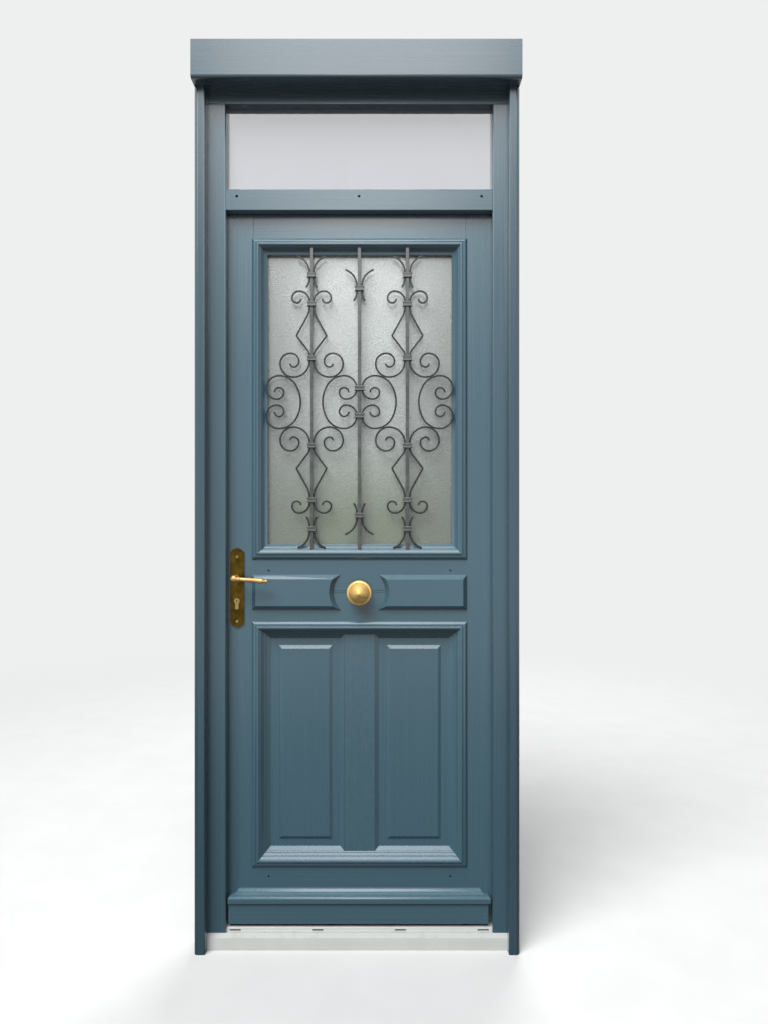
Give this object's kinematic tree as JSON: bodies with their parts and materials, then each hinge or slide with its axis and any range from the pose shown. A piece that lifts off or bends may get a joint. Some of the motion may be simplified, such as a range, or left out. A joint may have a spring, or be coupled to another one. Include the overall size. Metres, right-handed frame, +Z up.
{
  "type": "front door with frame",
  "caption": "Panelled timber front door with a grilled window over raised panels, hung in a frame with a transom light.",
  "frame": {"origin": "underside of the threshold, on the centre line, in the plane of the jambs' outer face", "axes": "+X to the right seen from outside, +Y into the house, +Z up"},
  "size_m": [0.9442, 0.2314, 2.6275],
  "materials": {
    "frame_paint": "satin blue-grey paint on timber",
    "cover_paint": "satin blue-grey paint on timber",
    "leaf_paint": "satin blue-grey paint on timber",
    "threshold_metal": "satin coated extrusion",
    "clear_glass": "clear float glass",
    "textured_glass": "fine textured obscure glass",
    "spacer_metal": "mill finish",
    "seal_rubber": "matt black",
    "wrought_iron": "forged, satin black paint",
    "aged_brass": "aged, dull",
    "bright_brass": "polished by use",
    "lock_steel": "brushed",
    "hinge_metal": "zinc plated",
    "washer_plastic": "white nylon"
  },
  "bodies": {
    "frame": {"lock_jamb": "frame_paint", "hinge_jamb": "frame_paint", "frame_head": "frame_paint", "transom_bar": "frame_paint", "threshold": "threshold_metal", "lock_side_cover_strip": "cover_paint", "hinge_side_cover_strip": "cover_paint", "head_cover_board": "cover_paint", "transom_outer_pane": "clear_glass", "transom_spacer": "spacer_metal", "transom_inner_pane": "clear_glass", "transom_beads": "frame_paint", "frame_seal": "seal_rubber", "strike_plate": "lock_steel", "strike_screws": "lock_steel", "hinge_frame_knuckles": "hinge_metal", "hinge_washers": "washer_plastic"},
    "leaf": {"lock_stile": "leaf_paint", "hinge_stile": "leaf_paint", "top_rail": "leaf_paint", "mid_rail": "leaf_paint", "bottom_rail": "leaf_paint", "muntin": "leaf_paint", "left_panel": "leaf_paint", "right_panel": "leaf_paint", "window_mouldings": "leaf_paint", "panel_mouldings": "leaf_paint", "window_outer_pane": "textured_glass", "window_spacer": "spacer_metal", "window_inner_pane": "clear_glass", "window_beads": "leaf_paint", "grille_bars": "wrought_iron", "grille_collars": "wrought_iron", "grille_scrolls": "wrought_iron", "grille_curls": "wrought_iron", "grille_fleurs": "wrought_iron", "grille_lozenges": "wrought_iron", "grille_sprays": "wrought_iron", "left_rail_block": "leaf_paint", "right_rail_block": "leaf_paint", "drip_moulding": "leaf_paint", "plinth_board": "leaf_paint", "door_knob": "bright_brass", "knob_rose": "aged_brass", "knob_bolt": "aged_brass", "outer_backplate": "aged_brass", "inner_backplate": "aged_brass", "backplate_screws": "aged_brass", "lock_case": "lock_steel", "lock_forend": "lock_steel", "forend_screws": "lock_steel", "cylinder_body": "bright_brass", "hinge_leaf_knuckles": "hinge_metal"},
    "lever": {"outer_lever": "bright_brass", "inner_lever": "bright_brass", "lever_spindle": "lock_steel", "lock_follower": "lock_steel"},
    "latch": {"latch_bolt": "lock_steel"},
    "bolt": {"dead_bolt": "lock_steel"},
    "plug": {"cylinder_plug": "bright_brass"}
  },
  "joints": [
    {"name": "leaf_swing", "type": "hinge", "parent": "frame", "child": "leaf", "pos_m": [0.405, 0.099, 1.1215], "axis": [0, 0, -1], "range_deg": [0, 100]},
    {"name": "lever_turn", "type": "hinge", "parent": "leaf", "child": "lever", "pos_m": [-0.3645, 0.061, 1.088], "axis": [0, 1, 0], "range_deg": [0, 38], "stiffness_Nm_per_rad": 1, "springref_deg": -28.65},
    {"name": "latch_slide", "type": "slide", "parent": "leaf", "child": "latch", "axis": [1, 0, 0], "range_m": [0, 0.012]},
    {"name": "plug_turn", "type": "hinge", "parent": "leaf", "child": "plug", "pos_m": [-0.3645, 0.061, 1.018], "axis": [0, 1, 0], "range_deg": [0, 360]},
    {"name": "bolt_slide", "type": "slide", "parent": "leaf", "child": "bolt", "axis": [-1, 0, 0], "range_m": [0, 0.02]}
  ],
  "couplings": [
    {"joint": "latch_slide", "follows": "lever_turn", "m_per_rad": 0.018},
    {"joint": "plug_turn", "follows": "bolt_slide", "rad_per_m": 314.16}
  ]
}
